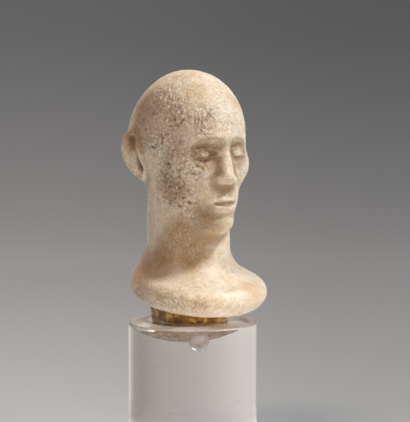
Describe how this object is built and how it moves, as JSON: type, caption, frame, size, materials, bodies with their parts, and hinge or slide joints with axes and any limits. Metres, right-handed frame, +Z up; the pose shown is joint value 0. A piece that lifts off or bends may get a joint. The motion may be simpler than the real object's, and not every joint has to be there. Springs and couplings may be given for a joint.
{
  "type": "carved stone head on a clear stand",
  "caption": "Small weathered marble head with a flared neck and rounded bust base, bedded in old adhesive on a clear acrylic cylinder.",
  "frame": {"origin": "centre of the stand's underside", "axes": "+Z up, the face looks along -Y, +X is the head's own left"},
  "size_m": [0.0541, 0.0582, 0.1475],
  "materials": {
    "marble": "carved coarse-grained marble, cream with brown and grey-lilac crust, pitted and worn",
    "aged_adhesive": "old yellow-brown resin adhesive, lumpy, half glossy",
    "clear_acrylic": "clear polished acrylic with a faint warm lilac tint and a few scuffs",
    "clear_adhesive": "hardened clear adhesive, slightly cloudy"
  },
  "bodies": {
    "root": {"head": "marble", "adhesive_bed": "aged_adhesive", "stand": "clear_acrylic", "adhesive_drip": "clear_adhesive"}
  },
  "joints": []
}
